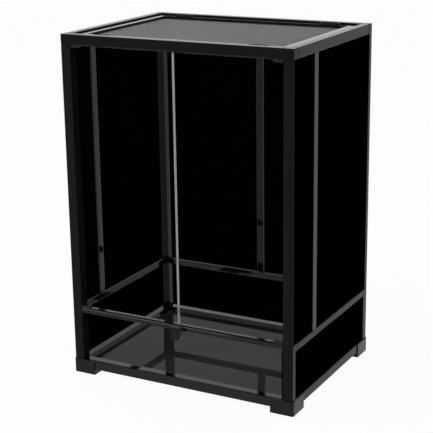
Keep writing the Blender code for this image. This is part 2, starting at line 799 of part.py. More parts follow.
def make_screen_frame():
    frame = box_part(
        "screen_frame", centred_box(SEAT_X, SEAT_Y, SCREEN_BOTTOM, SCREEN_TOP), BLACK_PLASTIC
    )
    hole = centred_box(FRAME_INNER_X, FRAME_INNER_Y, SCREEN_BOTTOM - PAST, SCREEN_TOP + PAST)
    combine(frame, box_cutter("screen_opening", hole))
    lap = MESH_LAP + GAP
    rebate = centred_box(
        FRAME_INNER_X + lap, FRAME_INNER_Y + lap, SCREEN_BOTTOM - PAST, MESH_TOP + GAP
    )
    combine(frame, box_cutter("mesh_rebate", rebate))
    for side_name, side in SIDES:
        for end_name, end in ENDS:
            for index, box in enumerate(catch_recess_boxes(side, end)):
                recess = box_cutter(f"recess_{end_name}_{side_name}_{index}", box)
                combine(frame, recess)


def make_screen_mesh():
    """The woven wire, as a closed sheet of its full thickness that laps the frame's rebate."""
    half_x, half_y = FRAME_INNER_X + MESH_LAP, FRAME_INNER_Y + MESH_LAP
    sheet = centred_box(half_x, half_y, MESH_BOTTOM, MESH_TOP)
    box_part("screen_mesh", sheet, WIRE_FINISH, 0)


def make_mesh_retainer():
    lap = MESH_LAP
    outer = centred_box(FRAME_INNER_X + lap, FRAME_INNER_Y + lap, SCREEN_BOTTOM, RETAINER_TOP)
    ring = box_part("mesh_retainer", outer, BLACK_PLASTIC, 0)
    hole = centred_box(FRAME_INNER_X, FRAME_INNER_Y, SCREEN_BOTTOM - PAST, RETAINER_TOP + PAST)
    combine(ring, box_cutter("retainer_opening", hole))


# Catches

CATCH_X = HALF_WIDTH - CATCH_SETBACK
CATCH_SLOT_TOP = SCREEN_TOP - CATCH_LIP
CATCH_PLATE_TOP = CATCH_SLOT_TOP - GAP
CATCH_PLATE_BOTTOM = CATCH_PLATE_TOP - CATCH_PLATE


def catch_recess_boxes(side, end):
    """The wide low slot for the catch's plate and the narrower opening above it."""
    x, half = side * CATCH_X, CATCH_LENGTH / 2 + GAP
    near = end * (SEAT_Y + PAST)
    far = end * (SEAT_Y - CATCH_PLATE_DEPTH - 2 * GAP)
    yield corners((x - half, near, CATCH_PLATE_BOTTOM - GAP), (x + half, far, CATCH_SLOT_TOP))
    half -= CATCH_GRIP_INSET
    yield corners((x - half, near, CATCH_SLOT_TOP - GAP), (x + half, far, SCREEN_TOP + PAST))


def cut_catch_slots(rail, end):
    """Where the catches' plates push into the rail's inner wall."""
    for name, side in SIDES:
        x, half = side * CATCH_X, CATCH_LENGTH / 2 + 2 * GAP
        slot = corners(
            (x - half, end * (SEAT_Y - PAST), CATCH_PLATE_BOTTOM - 2 * GAP),
            (x + half, end * (SEAT_Y + CATCH_TRAVEL + 2 * GAP), CATCH_SLOT_TOP + GAP),
        )
        combine(rail, box_cutter(f"{rail.name}_catch_slot_{name}", slot))


def make_catch(side_name, side, end_name, end):
    """A thin plate under the frame's lips, with a grooved finger grip standing above them."""
    name = f"catch_{end_name}_{side_name}"
    x, half = side * CATCH_X, CATCH_LENGTH / 2
    edge = end * (SEAT_Y - GAP)
    inner = edge - end * CATCH_PLATE_DEPTH
    plate = corners((x - half, edge, CATCH_PLATE_BOTTOM), (x + half, inner, CATCH_PLATE_TOP))
    catch = box_part(name, plate, BLACK_PLASTIC, 0)
    half -= CATCH_GRIP_INSET + GAP
    grip_top = SCREEN_TOP + CATCH_GRIP_RISE
    grip = corners(
        (x - half, inner + end * CATCH_GRIP_DEPTH, CATCH_PLATE_TOP - CATCH_PLATE / 2),
        (x + half, inner, grip_top),
    )
    handle = link_cutter(box_object(name + "_grip", *grip))
    add_bevel(handle, GLASS_ROUNDING, 2)
    combine(catch, handle, "UNION")
    middle = inner + end * CATCH_GRIP_DEPTH / 2
    for index in range(CATCH_GROOVES):
        y = middle + (index - (CATCH_GROOVES - 1) / 2) * CATCH_GROOVE_PITCH
        groove = (
            (x - half / 2, y - CATCH_GROOVE_WIDTH / 2, grip_top - CATCH_GROOVE_DEPTH),
            (x + half / 2, y + CATCH_GROOVE_WIDTH / 2, grip_top + PAST),
        )
        combine(catch, box_cutter(f"{name}_groove_{index}", groove))


def centre_overall_box():
    """Moves everything back by half of what the lock adds to the front."""
    front = -LOCK_FRONT + CYLINDER_PROUD
    back = HALF_DEPTH + FOOT_PROUD
    for obj in [*PARTS.objects, *CUTTERS.objects]:
        obj.location.y += (front - back) / 2


def main():
    seat = box_cutter("screen_seat", seat_box())
    make_posts()
    make_top_rails(seat)
    make_bottom_rails()
    make_middle_rails()
    make_door_bar()
    make_mullions()
    make_top_corners(seat)
    make_feet()
    make_panes()
    for name, side in SIDES:
        make_door(name, side)
    make_lock_housing()
    make_lock_cylinder()
    make_lock_bolt()
    make_screen_frame()
    make_screen_mesh()
    make_mesh_retainer()
    for side_name, side in SIDES:
        for end_name, end in ENDS:
            make_catch(side_name, side, end_name, end)
    centre_overall_box()


main()
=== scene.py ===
"""Finishes for the glass terrarium: its tubes, mouldings, panes, lock and woven mesh, and the
studio that it stands in.

The file is laid out as an add-on and is run as a script. Sizes are in metres and places are in
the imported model's frame: the doors face -Y, +X is the viewer's right, the floor is at z = 0.
"""

from math import cos, radians, sin

import bmesh
import bpy
from bpy.props import FloatProperty, FloatVectorProperty, IntProperty, PointerProperty
from mathutils import Matrix, Vector


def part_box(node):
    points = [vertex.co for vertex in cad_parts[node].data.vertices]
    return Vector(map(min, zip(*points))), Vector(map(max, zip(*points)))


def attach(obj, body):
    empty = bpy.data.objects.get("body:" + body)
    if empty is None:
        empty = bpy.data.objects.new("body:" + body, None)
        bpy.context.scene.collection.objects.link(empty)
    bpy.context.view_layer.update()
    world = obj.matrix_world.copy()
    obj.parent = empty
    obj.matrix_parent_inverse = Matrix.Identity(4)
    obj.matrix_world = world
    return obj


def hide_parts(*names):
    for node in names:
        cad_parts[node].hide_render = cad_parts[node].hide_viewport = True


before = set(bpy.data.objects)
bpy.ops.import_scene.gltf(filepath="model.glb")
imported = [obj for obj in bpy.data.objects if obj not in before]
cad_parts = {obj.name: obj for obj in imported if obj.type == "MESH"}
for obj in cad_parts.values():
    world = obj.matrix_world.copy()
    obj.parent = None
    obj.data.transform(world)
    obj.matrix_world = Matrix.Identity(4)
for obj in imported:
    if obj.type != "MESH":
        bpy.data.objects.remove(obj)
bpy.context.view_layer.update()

bl_info = {
    "name": "Glass Terrarium Finishes",
    "version": (1, 0, 0),
    "blender": (4, 5, 0),
    "location": "3D View > Sidebar > Terrarium",
    "description": "Finishes, woven mesh and studio for the packed glass terrarium",
    "category": "Object",
}

MILLIMETRE = 0.001
ALONG_X, ALONG_Y, ALONG_Z = range(3)

# Real sizes of the patterns in the finishes, or as coarse as they are drawn
DIE_LINE_RUN = 833 * MILLIMETRE
FLOW_MARK = 16.7 * MILLIMETRE
TINT_DRIFT = 333 * MILLIMETRE
GLASS_SMEAR = 4.55 * MILLIMETRE
FLOOR_DUST = 111 * MILLIMETRE
RUBBER_BLOOM = 25 * MILLIMETRE
TURNING_MARK = 0.5 * MILLIMETRE
PAPER_TOOTH = 25 * MILLIMETRE
BUMP_DEPTH = 0.1 * MILLIMETRE

# Most values of a noise pattern lie in this range
NOISE_RANGE = (0.3, 0.7)

# Light that a clear pane's faces give back, straight on and at a low angle, and how late it rises
FILM_RANGE = (0.005, 0.7)
FILM_RISE = 6.0

# How far a normal leans to the left or right where a pane's face turns into its ground edge
SIDEWAYS = (0.35, 0.55)

# How far beside a post the edge of a clear pane stands in the dark and goes without its painted
# highlight
EDGE_SHADE_GAP = 5 * MILLIMETRE

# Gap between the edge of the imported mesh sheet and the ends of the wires
CLOTH_GAP = 0.5 * MILLIMETRE

# Rounded edges: their radius as a share of the strip's thickness, the faces across one, and the
# faces round a bead
ROUNDING = 1 / 3
EDGE_SEGMENTS = 3
BEAD_SIDES = 16

# Ribs on a catch: both ends from the catch's outer end, the share of their pitch that they fill,
# and how far their tops stay under the rail's top
GRIP_RIBS_INSET = (5.2 * MILLIMETRE, 11.4 * MILLIMETRE)
RIB_FILL = 0.8
RIB_CLEARANCE = 0.2 * MILLIMETRE

# Share of the floor that shows as a lit white sheet, while the rest takes the object's shadow
SHEET_SHARE = 0.95

# Places and sides in metres, the sensor's width in millimetres
SOFTBOX_SIDES = (1.7, 1.4)
SOFTBOX_PLACE = (-2.0, -1.3, 2.6)
CAMERA_PLACE = (1.399, -2.604, 1.248)
CAMERA_TURN = radians(28.418)
CAMERA_HEIGHT = radians(16.256)
CAMERA_ROLL = radians(-0.808)
SENSOR_WIDTH = 36
CAMERA_REACH = 100

# Each tube finish: its nodes, the axis that they run along and the strength of its mirror
TUBE_FINISHES = (
    ("black_anodised_post", ("post_",), ALONG_Z, 0.045),
    ("black_anodised_mullion", ("mullion_",), ALONG_Z, 0.09),
    ("black_anodised_top_rail", ("rail_top_front", "rail_top_back"), ALONG_X, 0.04),
    (
        "black_anodised_cross_rail",
        ("rail_bottom_front", "rail_bottom_back", "rail_middle_back", "door_bar"), ALONG_X, 0.12,
    ),
    (
        "black_anodised_side_rail",
        (
            "rail_top_left", "rail_top_right", "rail_middle_left", "rail_middle_right",
            "rail_bottom_left", "rail_bottom_right",
        ), ALONG_Y, 0.045,
    ),
)

# Each moulded finish: its nodes, its roughness and the strength of its mirror
MOULDED_FINISHES = (
    ("black_abs_polished_corner", ("corner_",), 0.12, 0.06),
    ("black_abs_polished_foot", ("foot_",), 0.12, 0.16),
    ("black_abs_grained_mould", ("catch_", "door_left_pivot", "door_right_pivot"), 0.3, 0.2),
)
LOCK_FINISH = ("black_abs_lock_case", ("lock_housing",), 0.38, 0.12)
MESH_FRAME_FINISH = ("black_abs_gloss_frame", ("screen_frame", "mesh_retainer"), 0.05, 0.35)


def srgb(code):
    """Turns an sRGB hex code such as #1A1B1C into Blender's linear colour."""
    channels = [int(code[i:i + 2], 16) / 255 for i in (1, 3, 5)]
    return tuple(c / 12.92 if c <= 0.04045 else ((c + 0.055) / 1.055) ** 2.4 for c in channels)


# Settings that a user would change


class FrameFinishSettings(bpy.types.PropertyGroup):
    tube_black: FloatVectorProperty(
        name="Tube black", description="Colour of the dyed film on the tubes",
        subtype="COLOR", size=3, min=0, max=1, default=srgb("#0B0B0B"),
    )
    tube_worn_black: FloatVectorProperty(
        name="Die line grey", description="Colour along the paler drawing lines of the tubes",
        subtype="COLOR", size=3, min=0, max=1, default=srgb("#161616"),
    )
    die_line: FloatProperty(
        name="Die line", description="Spacing of the lines that the die leaves along a tube",
        subtype="DISTANCE", unit="LENGTH", min=0.0002, max=0.02, default=2.6 * MILLIMETRE,
    )
    moulded_black: FloatVectorProperty(
        name="Moulded black", description="Colour of the corner pieces, feet and catches",
        subtype="COLOR", size=3, min=0, max=1, default=srgb("#0E0E0E"),
    )
    spark_grain: FloatProperty(
        name="Spark grain", description="Grain size of the moulds' spark-eroded texture",
        subtype="DISTANCE", unit="LENGTH", min=0.0002, max=0.01, default=1.2 * MILLIMETRE,
    )


class GlassSettings(bpy.types.PropertyGroup):
    smoked: FloatVectorProperty(
        name="Smoked glass", description="Colour of the side and back panes",
        subtype="COLOR", size=3, min=0, max=1, default=srgb("#010101"),
    )
    floor: FloatVectorProperty(
        name="Floor glass", description="Colour of the floor pane",
        subtype="COLOR", size=3, min=0, max=1, default=srgb("#333334"),
    )
    # Painted highlight: the pale colour painted on the clear panes' ground edges for the light
    # that they gather
    edge: FloatVectorProperty(
        name="Polished edge", description="Colour that a clear pane's ground edge gathers",
        subtype="COLOR", size=3, min=0, max=1, default=srgb("#D0D4D2"),
    )


class MeshTopSettings(bpy.types.PropertyGroup):
    pitch: FloatProperty(
        name="Wire pitch", description="Distance from one wire's centre to the next",
        subtype="DISTANCE", unit="LENGTH", min=0.001, max=0.02, default=2.0 * MILLIMETRE,
    )
    wire_sides: IntProperty(
        name="Wire sides", description="Flat faces round one wire", min=3, max=12, default=6,
    )
    thumb_ribs: IntProperty(
        name="Thumb ribs", description="Ribs on the grip of each catch", min=1, max=20, default=9,
    )
    rib_pitch: FloatProperty(
        name="Rib pitch", description="Distance from one thumb rib to the next",
        subtype="DISTANCE", unit="LENGTH", min=0.001, max=0.01, default=5.0 * MILLIMETRE,
    )
    # Painted sheen: the grey stands in for the light that the black coated wire gives back at a
    # low angle
    wire: FloatVectorProperty(
        name="Wire coat", description="Colour of the coated wire",
        subtype="COLOR", size=3, min=0, max=1, default=srgb("#8C8C8D"),
    )


class SealSettings(bpy.types.PropertyGroup):
    thickness: FloatProperty(
        name="Strip thickness", description="Thickness of the seal's flat strip",
        subtype="DISTANCE", unit="LENGTH", min=0.0002, max=0.003, default=0.75 * MILLIMETRE,
    )
    bead: FloatProperty(
        name="Bead radius", description="Radius of the soft bead along the strip",
        subtype="DISTANCE", unit="LENGTH", min=0.0002, max=0.003, default=0.9 * MILLIMETRE,
    )
    bed: FloatProperty(
        name="Glue bed", description="Gap between the post and the strip",
        subtype="DISTANCE", unit="LENGTH", min=0, max=0.001, default=0.05 * MILLIMETRE,
    )
    setback: FloatProperty(
        name="Setback", description="Distance from the post's front and rear to the strip",
        subtype="DISTANCE", unit="LENGTH", min=0, max=0.01, default=1.2 * MILLIMETRE,
    )
    sweep_height: FloatProperty(
        name="Sweep height", description="Height of the strip under the doors",
        subtype="DISTANCE", unit="LENGTH", min=0.0002, max=0.002, default=1.1 * MILLIMETRE,
    )
    glazing_width: FloatProperty(
        name="Glazing bead width", description="Width of the beads beside the lower window",
        subtype="DISTANCE", unit="LENGTH", min=0.001, max=0.01, default=3.6 * MILLIMETRE,
    )
    end_gap: FloatProperty(
        name="End gap", description="Gap over the door bar and under the top rail",
        subtype="DISTANCE", unit="LENGTH", min=0, max=0.01, default=1.0 * MILLIMETRE,
    )


class StudioSettings(bpy.types.PropertyGroup):
    floor: FloatVectorProperty(
        name="Floor", description="Colour of the studio floor",
        subtype="COLOR", size=3, min=0, max=1, default=srgb("#F8F8F8"),
    )
    floor_size: FloatProperty(
        name="Floor size", description="Side of the square floor",
        subtype="DISTANCE", unit="LENGTH", min=2, max=100, default=40,
    )
    room_light: FloatProperty(
        name="Room light", description="Strength of the even light from all round",
        min=0, max=2, default=0.6,
    )
    softbox_power: FloatProperty(
        name="Soft box power", description="Power of the soft box",
        unit="POWER", min=0, max=500, default=29,
    )
    lens: FloatProperty(
        name="Lens", description="Focal length of the camera on a 36 mm frame, in millimetres",
        subtype="DISTANCE_CAMERA", unit="CAMERA", min=20, max=300, default=103.4,
    )


# Nodes and materials


def set_inputs(tree, node, inputs):
    """Links each input of a node to a socket, or sets it to a value."""
    for name, value in inputs.items():
        if isinstance(value, bpy.types.NodeSocket):
            tree.links.new(value, node.inputs[name])
        else:
            node.inputs[name].default_value = value


def add_node(tree, kind, inputs=None, **settings):
    """Adds one node: settings are its own properties, inputs are values or sockets to link."""
    node = tree.nodes.new(kind)
    for name, value in settings.items():
        setattr(node, name, value)
    set_inputs(tree, node, inputs or {})
    return node


def maths(tree, operation, *values):
    """One step of arithmetic on values or sockets."""
    inputs = dict(enumerate(values))
    return add_node(tree, "ShaderNodeMath", inputs, operation=operation).outputs[0]


def mapped(tree, value, source, target=(0, 1)):
    """Moves a value from one range to another."""
    return add_node(tree, "ShaderNodeMapRange", {
        "Value": value, "From Min": source[0], "From Max": source[1],
        "To Min": target[0], "To Max": target[1],
    }).outputs[0]


def pattern(tree, grain, detail):
    """A cloudy pattern with a grain of this size, fixed to the object."""
    coords = add_node(tree, "ShaderNodeTexCoord")
    return add_node(tree, "ShaderNodeTexNoise", {
        "Vector": coords.outputs["Object"], "Scale": 1 / grain, "Detail": detail,
    }).outputs["Fac"]


def relief(tree, height, strength):
    """Fine bumps out of a pattern."""
    return add_node(tree, "ShaderNodeBump", {
        "Height": height, "Strength": strength, "Distance": BUMP_DEPTH,
    }).outputs[0]


def shade_between(tree, fac, low, high):
    """Mixes two colours by a value."""
    return add_node(
        tree, "ShaderNodeMix", {0: fac, 6: (*low, 1), 7: (*high, 1)}, data_type="RGBA"
    ).outputs[2]


def toned(colour, factor):
    """A colour made paler, or darker by a factor under 1."""
    return [factor * channel for channel in colour]


def new_finish(name):
    """Makes a material with a Principled shader, and returns it with its node tree."""
    finish = bpy.data.materials.new(name)
    finish.use_nodes = True
    return finish, finish.node_tree


def set_shader(finish, inputs):
    """Sets or links the inputs of a finish's Principled shader."""
    set_inputs(finish.node_tree, finish.node_tree.nodes["Principled BSDF"], inputs)


def paint(objects, finish):
    """Gives every one of these objects this finish alone."""
    for obj in objects:
        obj.data.materials.clear()
        obj.data.materials.append(finish)


def nodes_named(*starts):
    """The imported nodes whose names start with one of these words."""
    return [obj for name, obj in sorted(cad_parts.items()) if name.startswith(starts)]


def anodised_tube(name, along, sheen):
    """Black anodised, extruded aluminium. The dyed and sealed oxide film hides the metal, so it
    looks like a thin black varnish: a dark body with a sharp, colourless mirror on top. The die
    leaves straight lines along the tube, where the film is a little paler and duller. The real
    lines are about 0.3 mm apart and are drawn 2.6 mm apart, so that they show. The mirror is kept
    weak, because all of a white room shows in it."""
    settings = bpy.context.scene.terrarium_frame
    finish, tree = new_finish(name)
    coords = add_node(tree, "ShaderNodeTexCoord")
    grains = [DIE_LINE_RUN if axis == along else settings.die_line for axis in range(3)]
    drawn_out = add_node(tree, "ShaderNodeMapping", {
        "Vector": coords.outputs["Object"], "Scale": [1 / grain for grain in grains],
    })
    lines = add_node(tree, "ShaderNodeTexNoise", {
        "Vector": drawn_out.outputs[0], "Scale": 1.0, "Detail": 2.0,
    }).outputs["Fac"]
    worn = mapped(tree, lines, (0.42, 0.72))
    set_shader(finish, {
        "Base Color": shade_between(tree, worn, settings.tube_black, settings.tube_worn_black),
        "Roughness": mapped(tree, lines, (0.35, 0.75), (0.03, 0.10)),
        "IOR": 1.77,
        "Specular IOR Level": sheen,
        "Normal": relief(tree, lines, strength=0.03),
    })
    return finish


def moulded_abs(name, roughness, sheen):
    """Black ABS out of a spark-eroded mould: a fine even grain that spreads each reflection a
    little, so that flats stay black and rounded edges carry a soft line, over slow flow marks. The
    real grain of about 0.3 mm is drawn at 1.2 mm."""
    settings = bpy.context.scene.terrarium_frame
    black = settings.moulded_black
    finish, tree = new_finish(name)
    grain = pattern(tree, settings.spark_grain, detail=3.0)
    flow = pattern(tree, FLOW_MARK, detail=1.0)
    set_shader(finish, {
        "Base Color": shade_between(tree, flow, black, toned(black, 1.5)),
        "Roughness": mapped(tree, flow, NOISE_RANGE, (roughness * 0.85, roughness * 1.15)),
        "IOR": 1.53,
        "Specular IOR Level": sheen,
        "Normal": relief(tree, grain, strength=0.12),
    })
    return finish


def smoked_float_glass():
    """Deep grey smoked float glass: so dark that nothing behind it shows, with the slow drift of
    depth that a tint has over a large pane. It has no mirror, so that it stays flat black."""
    deep = bpy.context.scene.terrarium_glass.smoked
    finish, tree = new_finish("smoked_float_glass")
    drift = pattern(tree, TINT_DRIFT, detail=1.0)
    set_shader(finish, {
        "Base Color": shade_between(tree, drift, deep, toned(deep, 2)),
        "Roughness": 0.05,
        "IOR": 1.5,
        "Specular IOR Level": 0.0,
    })
    return finish


def clear_float_glass():
    """Clear float glass with ground edges that have a polish. The faces nearly vanish and catch
    light only at a low angle. The edges carry a painted highlight, a pale, slightly green line for
    the light that they gather from the whole pane, left out where they stand in the dark against a
    post."""
    finish, tree = new_finish("clear_float_glass")
    coords = add_node(tree, "ShaderNodeTexCoord")
    facing = add_node(tree, "ShaderNodeSeparateXYZ", {"Vector": coords.outputs["Normal"]})
    # The ground edges take a painted highlight, and beside the posts, where they stand in shade,
    # they go without it
    ground = mapped(tree, maths(tree, "ABSOLUTE", facing.outputs["X"]), SIDEWAYS)
    place = add_node(tree, "ShaderNodeSeparateXYZ", {"Vector": coords.outputs["Object"]})
    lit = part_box("post_front_right")[0].x - EDGE_SHADE_GAP
    edge_out_of_shade = maths(tree, "LESS_THAN", maths(tree, "ABSOLUTE", place.outputs["X"]), lit)
    edge = maths(tree, "MULTIPLY", ground, edge_out_of_shade)
    low_angle = add_node(tree, "ShaderNodeLayerWeight", {"Blend": 0.5}).outputs["Facing"]
    film = mapped(tree, maths(tree, "POWER", low_angle, FILM_RISE), (0, 1), FILM_RANGE)
    smear = pattern(tree, GLASS_SMEAR, detail=2.0)
    edge_highlight = bpy.context.scene.terrarium_glass.edge
    # Painted highlight: the ground edges get the pale edge colour and full cover
    set_shader(finish, {
        "Base Color": shade_between(tree, edge, srgb("#101111"), edge_highlight),
        "Roughness": mapped(tree, smear, NOISE_RANGE, (0.01, 0.04)),
        "IOR": 1.5,
        "Alpha": maths(tree, "MAXIMUM", film, edge),
    })
    return finish


def dark_floor_glass():
    """Back-painted dark glass: a dark grey body under a flawless but weak mirror, with the faint
    broad haze of settled dust."""
    deep = bpy.context.scene.terrarium_glass.floor
    finish, tree = new_finish("dark_floor_glass")
    dust = pattern(tree, FLOOR_DUST, detail=4.0)
    set_shader(finish, {
        "Base Color": shade_between(tree, dust, deep, toned(deep, 2.2)),
        "Roughness": mapped(tree, dust, NOISE_RANGE, (0.01, 0.03)),
        "IOR": 1.5,
        "Specular IOR Level": 0.035,
    })
    return finish


def coated_wire():
    """Woven aluminium wire with a black baked finish: satin. Its grey colour is painted sheen, for
    the light that the black wire gives back at a low angle, a little paler in patches two wires
    wide, where the finish is rubbed."""
    settings = bpy.context.scene.terrarium_mesh_top
    sheen_grey = settings.wire
    finish, tree = new_finish("coated_woven_wire")
    rub = pattern(tree, 2 * settings.pitch, detail=2.0)
    # Painted sheen: the grey base colour stands in for light on the black wire, and the paler
    # patches are rubbed wear
    set_shader(finish, {
        "Base Color": shade_between(tree, rub, toned(sheen_grey, 0.7), toned(sheen_grey, 1.3)),
        "Roughness": 0.35,
        "IOR": 1.5,
    })
    return finish


def black_rubber():
    """Extruded black rubber: matt and dead black, with a talc-like bloom in slow patches."""
    finish, tree = new_finish("black_extruded_rubber")
    bloom = pattern(tree, RUBBER_BLOOM, detail=3.0)
    set_shader(finish, {
        "Base Color": shade_between(tree, bloom, srgb("#010101"), srgb("#030303")),
        "Roughness": 0.9,
        "IOR": 1.52,
        "Specular IOR Level": 0.05,
    })
    return finish


def nickel_plated_zinc():
    """Die-cast zinc with dull nickel: a warm dark grey metal whose finely turned face spreads
    light. The real 0.1 mm turning marks are drawn as 0.5 mm specks."""
    finish, tree = new_finish("nickel_plated_zinc")
    marks = pattern(tree, TURNING_MARK, detail=2.0)
    set_shader(finish, {
        "Base Color": shade_between(tree, marks, srgb("#232322"), srgb("#353432")),
        "Roughness": mapped(tree, marks, NOISE_RANGE, (0.22, 0.36)),
        "Metallic": 1.0,
    })
    return finish


# Shapes


def finished_object(name, shape, finish):
    """Makes an object of a bmesh, at the origin, with its faces pointing outwards."""
    bmesh.ops.recalc_face_normals(shape, faces=shape.faces[:])
    mesh = bpy.data.meshes.new(name)
    shape.to_mesh(mesh)
    shape.free()
    obj = bpy.data.objects.new(name, mesh)
    bpy.context.scene.collection.objects.link(obj)
    obj.data.materials.append(finish)
    return obj


def lay_wires(shape, radius, sides, along, length, centre, count, pitch):
    """Lays a row of straight wires side by side, all pointing along one axis."""
    turn = Matrix.Rotation(radians(90), 4, "Y" if along == ALONG_X else "X")
    across = Vector((0, pitch, 0)) if along == ALONG_X else Vector((pitch, 0, 0))
    wire = bmesh.ops.create_cone(
        shape, cap_ends=True, segments=sides, radius1=radius, radius2=radius, depth=length,
        matrix=Matrix.Translation(centre - across * (count - 1) / 2) @ turn,
    )["verts"]
    for _ in range(count - 1):
        around = {face for vert in wire for face in vert.link_faces}
        copied = bmesh.ops.duplicate(shape, geom=[*wire, *around])["geom"]
        wire = [item for item in copied if isinstance(item, bmesh.types.BMVert)]
        bmesh.ops.translate(shape, verts=wire, vec=across)


def woven_mesh():
    """The wire cloth: wires from side to side under wires from front to back, the two layers
    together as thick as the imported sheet."""
    settings = bpy.context.scene.terrarium_mesh_top
    low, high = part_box("screen_mesh")
    radius = (high.z - low.z) / 4
    middle = (low + high) / 2
    reach = high - low - 2 * Vector((CLOTH_GAP, CLOTH_GAP, 0))
    shape = bmesh.new()
    for along, across, level in ((ALONG_X, ALONG_Y, -radius), (ALONG_Y, ALONG_X, radius)):
        count = int(reach[across] / settings.pitch)
        lay_wires(
            shape, radius, settings.wire_sides, along, reach[along],
            middle + Vector((0, 0, level)), count, settings.pitch,
        )
    return finished_object("woven_mesh", shape, coated_wire())


def rounded_bar(shape, low, high, rounding):
    """Adds a bar with rounded edges that fills the box between two corners."""
    size, middle = Vector(high) - Vector(low), (Vector(high) + Vector(low)) / 2
    corners = bmesh.ops.create_cube(
        shape, size=1, matrix=Matrix.Translation(middle) @ Matrix.Diagonal((*size, 1))
    )["verts"]
    bmesh.ops.bevel(
        shape, geom=list({edge for vert in corners for edge in vert.link_edges}),
        offset=rounding, affect="EDGES", segments=EDGE_SEGMENTS, profile=0.5, material=-1,
    )


def front_post(side):
    """The box of the front post on this side, and the x where a seal on its inner wall starts."""
    low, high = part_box("post_front_left" if side < 0 else "post_front_right")
    bed = bpy.context.scene.terrarium_seal.bed
    return low, high, (high.x if side < 0 else low.x) - side * bed


def lip_seal(name, side, front, low, high, finish):
    """A lip seal stuck to the inner side of a front post: a flat strip with rounded edges and a
    soft bead along it, a third of the way from its rear. The strip runs back from front and ends
    just before the post does."""
    settings = bpy.context.scene.terrarium_seal
    _, post_high, wall = front_post(side)
    face = wall - side * settings.thickness
    rear = post_high.y - settings.setback
    low, high = low + settings.end_gap, high - settings.end_gap
    shape = bmesh.new()
    rounded_bar(
        shape, (min(face, wall), front, low), (max(face, wall), rear, high),
        settings.thickness * ROUNDING,
    )
    bmesh.ops.create_cone(
        shape, cap_ends=True, segments=BEAD_SIDES, radius1=settings.bead, radius2=settings.bead,
        depth=high - low,
        matrix=Matrix.Translation((face, (front + 2 * rear) / 3, (low + high) / 2)),
    )
    ride_cabinet(finished_object(name, shape, finish))


def glazing_bead(name, side, low, high, finish):
    """A slim bead in the corner between a front post and the face of the lower window."""
    settings = bpy.context.scene.terrarium_seal
    post_low, _, wall = front_post(side)
    face = wall - side * settings.glazing_width
    front = post_low.y + settings.setback / 2
    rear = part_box("window_front_lower")[0].y - settings.bed
    shape = bmesh.new()
    rounded_bar(
        shape, (min(face, wall), front, low + settings.end_gap),
        (max(face, wall), rear, high - settings.end_gap), (rear - front) * ROUNDING,
    )
    ride_cabinet(finished_object(name, shape, finish))


def sweep_strip(finish):
    """A low strip along the top of the door bar, just under the doors' lower edges."""
    settings = bpy.context.scene.terrarium_seal
    door_low, door_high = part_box("door_left_glass")
    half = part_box("door_right_pivot_bottom")[0].x - settings.end_gap
    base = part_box("door_bar")[1].z + settings.bed
    shape = bmesh.new()
    rounded_bar(
        shape, (-half, door_low.y, base),
        (half, door_high.y + settings.setback, base + settings.sweep_height),
        settings.sweep_height * ROUNDING,
    )
    ride_cabinet(finished_object("door_sweep_strip", shape, finish))


def ride_cabinet(piece):
    """Fixes a seal to the cabinet."""
    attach(piece, "cabinet")


def thumb_ribs(catch, lift, finish):
    """A row of rounded ribs across the top of a catch's grip, for the thumb that slides it."""
    settings = bpy.context.scene.terrarium_mesh_top
    low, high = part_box(f"catch_{catch}")
    outer = low.y if catch.startswith("front") else high.y
    inward = 1 if catch.startswith("front") else -1
    ends = sorted(outer + inward * inset for inset in GRIP_RIBS_INSET)
    middle = (low.x + high.x) / 2
    count = settings.thumb_ribs
    shape = bmesh.new()
    for rib in range(count):
        x = middle + (rib - (count - 1) / 2) * settings.rib_pitch
        half = settings.rib_pitch * RIB_FILL / 2
        rounded_bar(
            shape, (x - half, ends[0], high.z - lift), (x + half, ends[1], high.z + lift),
            half * ROUNDING,
        )
    ribs = finished_object(f"thumb_ribs_{catch}", shape, finish)
    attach(ribs, f"catch_{catch}")


# Operators


class TERRARIUM_OT_finish_tubes(bpy.types.Operator):
    """Finishes the posts, rails, mullions and door bar as black anodised extrusions"""

    bl_idname = "terrarium.finish_tubes"
    bl_label = "Finish Tubes"

    def execute(self, context):
        for name, nodes, along, sheen in TUBE_FINISHES:
            paint(nodes_named(*nodes), anodised_tube(name, along, sheen))
        return {"FINISHED"}


class TERRARIUM_OT_finish_mouldings(bpy.types.Operator):
    """Finishes the corner pieces, feet, pivot shoes and catches as moulded ABS"""

    bl_idname = "terrarium.finish_mouldings"
    bl_label = "Finish Mouldings"

    def execute(self, context):
        for name, nodes, roughness, sheen in MOULDED_FINISHES:
            paint(nodes_named(*nodes), moulded_abs(name, roughness, sheen))
        return {"FINISHED"}


class TERRARIUM_OT_finish_panes(bpy.types.Operator):
    """Finishes the fixed side and back panes and the floor pane"""

    bl_idname = "terrarium.finish_panes"
    bl_label = "Finish Panes"

    def execute(self, context):
        smoked, floor = nodes_named("pane_"), nodes_named("floor_pane")
        paint(smoked, smoked_float_glass())
        paint(floor, dark_floor_glass())
        # The tubes and the floor pane mirror the pale room past the panes, as in the photograph
        for pane in (*smoked, *floor):
            pane.visible_glossy = False
        return {"FINISHED"}


class TERRARIUM_OT_finish_doors(bpy.types.Operator):
    """Finishes the clear doors and the clear lower window"""

    bl_idname = "terrarium.finish_doors"
    bl_label = "Finish Doors"

    def execute(self, context):
        paint(
            nodes_named("door_left_glass", "door_right_glass", "window_front"),
            clear_float_glass(),
        )
        return {"FINISHED"}


